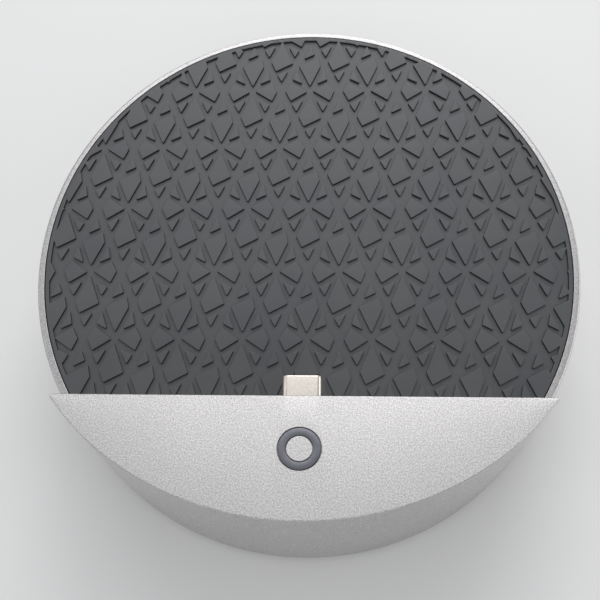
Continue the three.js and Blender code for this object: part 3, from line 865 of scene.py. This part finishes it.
def inward_steps(points, level):
    """For each corner of the raised area's outline, the step that moves it inward by one unit.

    Corners where more than two sides meet, or that are very sharp, stay where they are.
    """
    normals = {}
    for (i, j), raised in level.items():
        if raised and not level.get((j, i), False):
            along = (points[j] - points[i]).normalized()
            for end in (i, j):
                normals.setdefault(end, []).append(Vector((-along.y, along.x)))
    steps = {}
    for corner, pair in normals.items():
        if len(pair) == 2 and pair[0].dot(pair[1]) > SHARPEST:
            steps[corner] = (pair[0] + pair[1]) / (1 + pair[0].dot(pair[1]))
        else:
            steps[corner] = Vector((0, 0))
    return steps


class PadMesh:
    """The pad as one closed mesh, made corner by corner from its plan.

    A corner of the plan has up to five vertices, one for each layer: 0 to 2 are the rings of a
    tile's rounded edge, then come CHANNEL and UNDERSIDE.
    """

    def __init__(self, points, steps):
        self.bm = bmesh.new()
        self.points = points
        self.steps = steps
        self.made = {}

    def vertex(self, corner, layer):
        key = (corner, layer if corner in self.steps or layer >= CHANNEL else 0)
        if key not in self.made:
            self.made[key] = self.bm.verts.new(self.place(corner, layer))
        return self.made[key]

    def place(self, corner, layer):
        inward, down = EDGE_RINGS[layer] if layer < CHANNEL else (0.0, 0.0)
        step = self.steps.get(corner, Vector((0, 0)))
        place = self.points[corner] + step * inward * TILE_EDGE
        if layer == CHANNEL:
            return (place.x, place.y, -RELIEF)
        if layer == UNDERSIDE:
            lean = (PAD_THICKNESS - TILE_EDGE) * math.tan(TILT)  # the pad's side stands upright
            return (place.x, max(place.y - lean, PAD_CHORD), -PAD_THICKNESS)
        return (place.x, place.y, -down * TILE_EDGE)

    def top(self, corners, raised):
        self.bm.faces.new([self.vertex(c, 0 if raised else CHANNEL) for c in corners])

    def wall(self, i, j, upper, lower):
        upper_side = (self.vertex(j, upper), self.vertex(i, upper))
        lower_side = (self.vertex(i, lower), self.vertex(j, lower))
        self.bm.faces.new(upper_side + lower_side)

    def closed(self):
        under = [edge for edge in self.bm.edges if edge.is_boundary]
        bmesh.ops.edgeloop_fill(self.bm, edges=under)
        bmesh.ops.recalc_face_normals(self.bm, faces=self.bm.faces)
        return self.bm


def make_pad(material):
    points, faces = pad_faces()
    level = face_levels(faces)
    pad = PadMesh(points, inward_steps(points, level))
    for corners, raised in faces:
        pad.top(corners, raised)
    for (i, j), raised in level.items():
        beyond = level.get((j, i))
        if raised and beyond is not True:
            for upper in range(CHANNEL):
                pad.wall(i, j, upper, upper + 1)
        if beyond is None:
            pad.wall(i, j, CHANNEL, UNDERSIDE)
    even_normals(piece(
        "patterned_pad", placed(pad.closed(), DECK), material,
        replaces=["rubber_pad"], sharp=60,
    ))


# ---------- the inlay, the plug ----------
def make_ring(material):
    low = BODY_TOP - RING_DEPTH + RING_SUNK
    high = BODY_TOP - RING_SUNK
    corners = [(RING_INNER, low), (RING_OUTER, low), (RING_OUTER, high), (RING_INNER, high)]
    outline = filleted(corners, [0, 0, RING_ROUNDING, RING_ROUNDING], 3)
    ring = moved(turned(outline), 0, RING_Y, 0)
    piece("ring_inlay", ring, material, replaces=["emblem_ring"], sharp=60)


def sleeve(width, height, low, high, lip, wall):
    """A tube of stadium section along Z whose outer edge at the open end is rounded."""
    rows = [(0, low)]
    for k in range(6):
        turn = math.pi / 2 * k / 5
        rows.append((lip * (1 - math.cos(turn)), high - lip * (1 - math.sin(turn))))
    rows += [(wall - 0.05, high - 0.02), (wall, high - 0.12), (wall, low)]  # inner edge eased
    loops = []
    for inset, z in rows:
        loops.append([(x, y, z) for x, y in stadium(width - 2 * inset, height - 2 * inset)])
    return lofted(loops, capped=False)


def make_plug(finishes):
    shell = sleeve(PLUG_WIDTH, PLUG_HEIGHT, PLUG_ROOT, PLUG_TIP, PLUG_LIP, PLUG_WALL)
    piece(
        "plug_sleeve", placed(shell, PLUG_AXIS), finishes["nickel"], "dock_plug",
        ["plug_shell"], sharp=50,
    )
    outline = stadium(PLUG_WIDTH - 2 * CORE_INSET, PLUG_HEIGHT - 2 * CORE_INSET)
    core = extruded(outline, PLUG_ROOT, PLUG_TIP - CORE_SET_BACK)
    opening = filleted(rectangle(*MOUTH), MOUTH_ROUNDING, 4)
    core = placed(cut(core, extruded(opening, PLUG_TIP - MOUTH_DEPTH, PLUG_TIP + 1)), PLUG_AXIS)
    piece(
        "plug_core", core, finishes["black_plastic"], "dock_plug",
        ["plug_insert"],
    )


# ---------- rear bay ----------
def to_rear(bm, x, z):
    """Lays a shape made along Z along +Y, at a place on the rear panel."""
    return placed(bm, Matrix.Translation((x, 0, z)) @ ALONG_Y)


def countersunk(radius, x, z):
    """Cutter for a round opening in the rear panel, with a small bevel at its face."""
    outline = [
        (0, 0),
        (radius, 0),
        (radius, PANEL_FACE - OPENING_BEVEL),
        (radius + OPENING_BEVEL + 1, PANEL_FACE + 1),
        (0, PANEL_FACE + 1),
    ]
    return to_rear(turned(outline, SMALL_SIDES), x, z)


def panel_openings():
    """Cutters for the two jacks, the inlet, the button and the lens."""
    width = INLET_WIDTH + 2 * INLET_CLEARANCE
    height = INLET_HEIGHT + 2 * INLET_CLEARANCE
    return [
        *[countersunk(JACK_BARREL + GAP, x, SOCKET_Z) for x in JACK_X.values()],
        to_rear(extruded(stadium(width, height), 0, FAR), INLET_X, INLET_Z),
        countersunk(BUTTON_RADIUS + GAP, BUTTON_X, BUTTON_Z),
        countersunk(LENS_RADIUS + LENS_CLEARANCE, LENS_X, LENS_Z),
    ]


def make_rear_panel(material):
    width = 2 * (WINDOW_HALF - GAP)
    height = WINDOW_HIGH - WINDOW_LOW - 2 * GAP
    plate = filleted(rectangle(width, height), PANEL_CORNER, 6)
    plate = extruded(plate, PANEL_BACK, BODY_RADIUS_TOP)
    inside = rectangle(width - 2 * COLLAR_WALL, height - 2 * COLLAR_WALL)
    bay = extruded(filleted(inside, COLLAR_CORNER, 6), PANEL_FACE, BODY_RADIUS_TOP + 1)
    drum_wall = post(BODY_RADIUS_TOP - COLLAR_SET_BACK, 0, BODY_TOP)
    panel = common(to_rear(cut(plate, bay), 0, WINDOW_MIDDLE), drum_wall)
    even_normals(piece(
        "rear_bay_panel", cut(panel, *panel_openings()), material,
        replaces=["rear_panel"], sharp=35,
    ))


def jack_barrel():
    """Section of a jack's plated ring, with the groove round it."""
    groove = JACK_BARREL - NECK_DEPTH
    outline = [
        (JACK_BORE, SOCKET_START),
        (JACK_BARREL, SOCKET_START),
        (JACK_BARREL, JACK_NECK),
        (groove, JACK_NECK + NECK_SLANT),
        (groove, JACK_NECK + NECK_WIDTH - NECK_SLANT),
        (JACK_BARREL, JACK_NECK + NECK_WIDTH),
        (JACK_BARREL, JACK_END),
        (JACK_BORE, JACK_END),
    ]
    return filleted(outline, [0, 0, 0, 0, 0, 0, 0.3, 0.2])


def jack_insert():
    """Section of a jack's coloured core, with the funnel to its hole."""
    floor = SOCKET_START + INSERT_FLOOR
    outline = [
        (0, SOCKET_START),
        (JACK_INSERT, SOCKET_START),
        (JACK_INSERT, INSERT_FRONT),
        (JACK_HOLE + INSERT_FUNNEL, INSERT_FRONT),
        (JACK_HOLE, INSERT_FRONT - INSERT_FUNNEL),
        (JACK_HOLE, floor),
        (0, floor),
    ]
    return filleted(outline, [0, 0, 0.3, 0.2, 0.1, 0, 0])


def jack_contact():
    """Section of the contact sleeve that lines the core's hole."""
    return [
        (CONTACT_INNER, CONTACT_START),
        (CONTACT_OUTER, CONTACT_START),
        (CONTACT_OUTER, CONTACT_END),
        (CONTACT_INNER, CONTACT_END - CONTACT_SLANT),
    ]


def make_jacks(finishes):
    nickel = finishes["nickel"]
    for side, x in JACK_X.items():
        name = "line_jack_" + side
        colour = JACK_COLOUR[side]
        ring = to_rear(turned(jack_barrel()), x, SOCKET_Z)
        piece(name + "_ring", ring, nickel, replaces=[name + "_barrel"])
        core = to_rear(turned(jack_insert()), x, SOCKET_Z)
        piece(name + "_core", core, finishes[colour], replaces=[name + "_insert"])
        lining = to_rear(turned(jack_contact(), SMALL_SIDES), x, SOCKET_Z)
        piece(name + "_contact", lining, nickel)


def inlet_shell():
    """The inlet's metal sleeve, with a floor at its back."""
    shell = sleeve(INLET_WIDTH, INLET_HEIGHT, INLET_BACK, INLET_FRONT, INLET_LIP, INLET_WALL)
    seal = stadium(INLET_WIDTH - 2 * SEAL_INSET, INLET_HEIGHT - 2 * SEAL_INSET)
    seal = extruded(seal, SEAL_START, SEAL_END)
    shell = to_rear(shell, INLET_X, INLET_Z)
    return joined(shell, to_rear(seal, INLET_X, INLET_Z))


def inlet_tongue():
    """The tongue inside the inlet, tapered at its tip."""
    width, height = TONGUE
    rows = [(TONGUE_START, 0), (TONGUE_TIP - TONGUE_TAPER, 0), (TONGUE_TIP, TONGUE_TAPER_INSET)]
    loops = []
    for z, inset in rows:
        outline = filleted(rectangle(width - 2 * inset, height - 2 * inset), TONGUE_ROUNDING, 3)
        loops.append([(x, y, z) for x, y in outline])
    return lofted(loops)


def inlet_strips():
    """A row of contact strips on each side of the tongue, in one mesh."""
    strips = bmesh.new()
    for k in range(STRIPS_A_SIDE):
        x = (k - (STRIPS_A_SIDE - 1) / 2) * STRIP_PITCH
        for y in (-TONGUE[1] / 2, TONGUE[1] / 2):
            outline = filleted(rectangle(*STRIP), STRIP_ROUNDING, 2)
            strip = extruded(outline, STRIP_START, STRIP_END)
            mesh = bpy.data.meshes.new("strip")
            moved(strip, x, y, 0).to_mesh(mesh)
            strip.free()
            strips.from_mesh(mesh)
            bpy.data.meshes.remove(mesh)
    return strips


def make_inlet(finishes):
    nickel = finishes["nickel"]
    piece("inlet_shell", inlet_shell(), nickel, replaces=["power_inlet_shell"])
    piece(
        "inlet_tongue", to_rear(inlet_tongue(), INLET_X, INLET_Z), finishes["black_plastic"],
        replaces=["power_inlet_tongue"],
    )
    strips = to_rear(inlet_strips(), INLET_X, INLET_Z)
    piece("inlet_contacts", strips, nickel)


def make_button(material):
    outline = [
        (0, BUTTON_STEM_END),
        (BUTTON_STEM, BUTTON_STEM_END),
        (BUTTON_STEM, FLANGE_BACK),
        (BUTTON_FLANGE, FLANGE_BACK),
        (BUTTON_FLANGE, FLANGE_FRONT),
        (BUTTON_RADIUS, FLANGE_FRONT),
        (BUTTON_RADIUS, BUTTON_FACE),
        (BUTTON_RADIUS - BUTTON_BRIM, BUTTON_FACE),
        (0, BUTTON_FACE - BUTTON_DISH),
    ]
    outline = filleted(outline, [0, 0.2, 0.2, 0.15, 0.15, 0, 0.35, 0.8, 0], 5)
    cap = to_rear(turned(outline), BUTTON_X, BUTTON_Z)
    piece("pairing_cap", cap, material, "button", ["pairing_button"])


def make_lens(material):
    outline = [
        (0, LENS_BACK),
        (LENS_RADIUS, LENS_BACK),
        (LENS_RADIUS, LENS_FRONT - LENS_EDGE_DROP),
        (LENS_CROWN, LENS_FRONT - LENS_CROWN_DROP),
        (0, LENS_FRONT),
    ]
    lens = to_rear(turned(outline, SMALL_SIDES), LENS_X, LENS_Z)
    piece("lens_dome", lens, material, replaces=["status_lens"], sharp=50)


# ---------- underside ----------
def base_disc():
    """The base plate's disc, with the groove that the foot sits in."""
    groove = BASE_BOTTOM + FOOT_GROOVE
    outline = [
        (0, BASE_BOTTOM),
        (FOOT_INNER - GAP, BASE_BOTTOM),
        (FOOT_INNER - GAP, groove),
        (FOOT_OUTER + GAP, groove),
        (FOOT_OUTER + GAP, BASE_BOTTOM),
        (BASE_RADIUS, BASE_BOTTOM),
        (BASE_RADIUS, BASE_TOP),
        (0, BASE_TOP),
    ]
    roundings = [0, 0.15, 0, 0, 0.15, BASE_ROUNDING, BASE_ROUNDING, 0]
    return turned(filleted(outline, roundings, 3), BIG_SIDES)


def screw_well():
    """Section of the cutter for a screw's sunk seat and its hole through the plate."""
    outline = [
        (0, 0),
        (WELL_MOUTH, 0),
        (WELL_RADIUS, WELL_FLARE_TOP),
        (WELL_RADIUS, WELL_TOP),
        (WELL_HOLE, WELL_TOP),
        (WELL_HOLE, BASE_TOP + 1),
        (0, BASE_TOP + 1),
    ]
    return filleted(outline, [0, 0, 0, 0.2, 0, 0, 0])


def make_base(material):
    wells, standoffs, threads = [], [], []
    for sx, sy in CORNERS:
        wells.append(moved(turned(screw_well(), SMALL_SIDES), sx * BOSS_X, sy * BOSS_Y, 0))
        place = (sx * STANDOFF_X, STANDOFF_Y[sy])
        standoffs.append(post(STANDOFF_RADIUS, BASE_TOP - 0.5, STANDOFF_TOP, *place, SMALL_SIDES))
        threads.append(post(STANDOFF_HOLE, BASE_TOP, STANDOFF_TOP + 1, *place, SMALL_SIDES))
    plate = cut(joined(base_disc(), *standoffs), *wells, *threads)
    even_normals(piece(
        "underside_plate", plate, material, replaces=["base_plate"],
    ))


def make_foot(material):
    top = BASE_BOTTOM + FOOT_GROOVE - 0.1
    sole = [(FOOT_INNER, 0), *SOLE_GROOVE, (FOOT_OUTER, 0), (FOOT_OUTER, top), (FOOT_INNER, top)]
    sole = filleted(sole, [0.5, 0.15, 0.1, 0.1, 0.15, 0.5, 0.1, 0.1], 3)
    foot = turned(sole, BIG_SIDES)
    piece("foot_strip", foot, material, replaces=["foot_ring"], sharp=60)


def make_base_screws(material):
    low = BASE_BOTTOM + 0.1
    under_head = BASE_BOTTOM + SCREW_HEAD_TOP
    end = BASE_TOP + SCREW_REACH
    outline = [
        (0, low),
        (SCREW_HEAD, low),
        (SCREW_HEAD, under_head),
        (SCREW_SHANK, under_head),
        (SCREW_SHANK, end),
        (0, end),
    ]
    outline = filleted(outline, [0, 0.4, 0.1, 0.1, 0.3, 0], 4)
    for number, (sx, sy) in enumerate(CORNERS, 1):
        drive = post(DRIVE_RADIUS, 0, BASE_BOTTOM + DRIVE_DEPTH, sides=6)
        screw = moved(cut(turned(outline, SMALL_SIDES), drive), sx * BOSS_X, sy * BOSS_Y, 0)
        name = f"underside_screw_{number}"
        piece(name, screw, material, replaces=[f"base_screw_{number}"])


# ---------- floor, lights and camera ----------
def make_floor():
    """The paper that the object stands on."""
    corners = [(-1, -1), (1, -1), (1, 1), (-1, 1)]
    mesh = bpy.data.meshes.new("floor")
    mesh.from_pydata([(x * FLOOR_HALF, y * FLOOR_HALF, 0) for x, y in corners], [], [(0, 1, 2, 3)])
    obj = bpy.data.objects.new("floor", mesh)
    bpy.context.scene.collection.objects.link(obj)
    m = Nodes("floor_paper")
    m.set(base_color=m.mixed(m.noise(0.05), grey(0.81), grey(0.84)), roughness=0.7)
    mesh.materials.append(m.material)


def make_lights():
    world = bpy.data.worlds.new("studio")
    world.use_nodes = True
    background = world.node_tree.nodes["Background"]
    background.inputs["Color"].default_value = WORLD_COLOUR
    background.inputs["Strength"].default_value = WORLD_STRENGTH
    bpy.context.scene.world = world
    for name, place, size, power in SOFTBOXES:
        softbox(name, place, size, power)


def softbox(name, place, size, power):
    data = bpy.data.lights.new(name, "AREA")
    data.shape = "RECTANGLE"
    data.size, data.size_y = size
    data.energy = power
    light = bpy.data.objects.new(name, data)
    light.location = place
    light.rotation_euler = (-Vector(place)).to_track_quat("-Z", "Y").to_euler()
    bpy.context.scene.collection.objects.link(light)


def make_camera():
    data = bpy.data.cameras.new("camera")
    data.sensor_width = CAMERA_SENSOR
    data.lens = CAMERA_LENS
    data.shift_y = CAMERA_SHIFT
    data.clip_start = CAMERA_NEAREST
    camera = bpy.data.objects.new("camera", data)
    up = CAMERA_RIGHT.cross(CAMERA_FORWARD)
    matrix = Matrix((CAMERA_RIGHT, up, -CAMERA_FORWARD)).transposed().to_4x4()
    matrix.translation = CAMERA_PLACE
    camera.matrix_world = matrix
    bpy.context.scene.collection.objects.link(camera)
    bpy.context.scene.camera = camera


# ---------- the whole scene ----------
def finish_cad_nodes(frame, finishes):
    """Every CAD node takes its slot's finish; those that no piece replaces keep their CAD shape."""
    for part in frame["record"]["subparts"]:
        node = frame["nodes"][part["node"]]
        node.data.materials.clear()
        node.data.materials.append(finishes[part["material_slot"]])


def make_pieces(finishes):
    make_body(finishes["aluminium"])
    make_pad(finishes["rubber"])
    make_ring(finishes["dark_inlay"])
    make_plug(finishes)
    make_rear_panel(finishes["black_plastic"])
    make_jacks(finishes)
    make_inlet(finishes)
    make_button(finishes["grey_plastic"])
    make_lens(finishes["clear_plastic"])
    make_base(finishes["black_plastic"])
    make_foot(finishes["foot_rubber"])
    make_base_screws(finishes["steel"])


def main():
    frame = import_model()
    finishes = make_finishes()
    finish_cad_nodes(frame, finishes)
    make_pieces(finishes)
    make_floor()
    make_lights()
    make_camera()
    bpy.context.scene.view_settings.view_transform = "Standard"


main()
